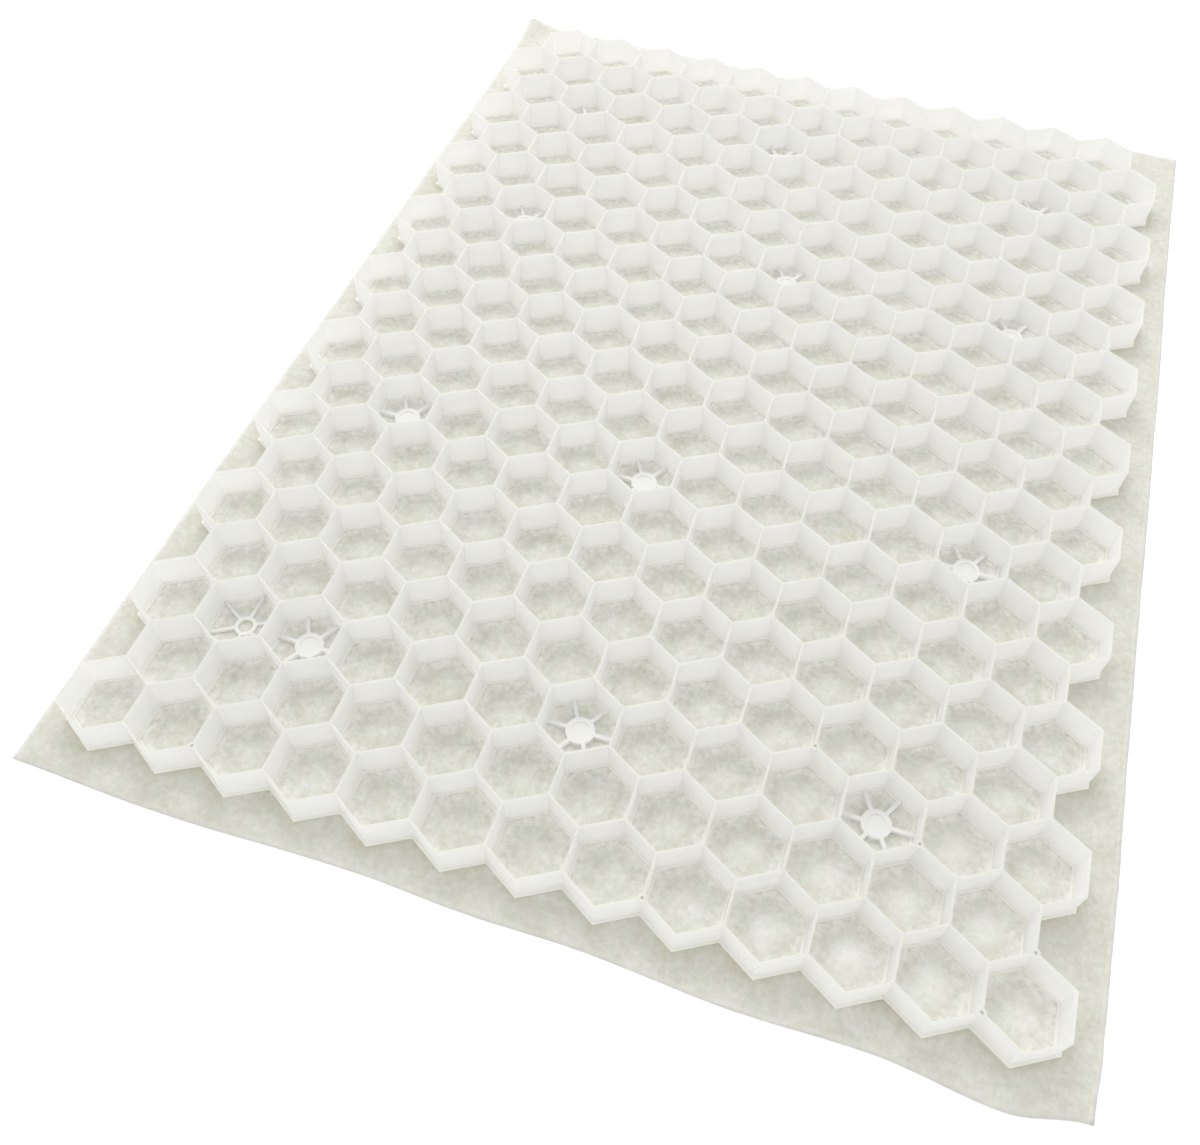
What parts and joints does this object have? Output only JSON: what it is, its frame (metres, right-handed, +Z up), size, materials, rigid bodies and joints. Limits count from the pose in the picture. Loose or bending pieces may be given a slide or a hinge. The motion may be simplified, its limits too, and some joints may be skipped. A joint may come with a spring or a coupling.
{
  "type": "gravel stabilizer grid",
  "caption": "Flat honeycomb panel of open hexagonal plastic cells bonded to a geotextile sheet, laid under gravel to keep a path or drive level.",
  "frame": {"origin": "middle of the geotextile sheet's underside, on the floor", "axes": "+X along a row of cells, to the right; +Y from the front edge to the back edge; +Z up, out of the open cells"},
  "size_m": [0.8086, 1.0922, 0.031],
  "materials": {
    "natural_polypropylene": "satin",
    "nonwoven_geotextile": "matte"
  },
  "bodies": {
    "root": {"honeycomb_front_half": "natural_polypropylene", "honeycomb_rear_half": "natural_polypropylene", "geotextile_sheet": "nonwoven_geotextile"}
  },
  "joints": []
}
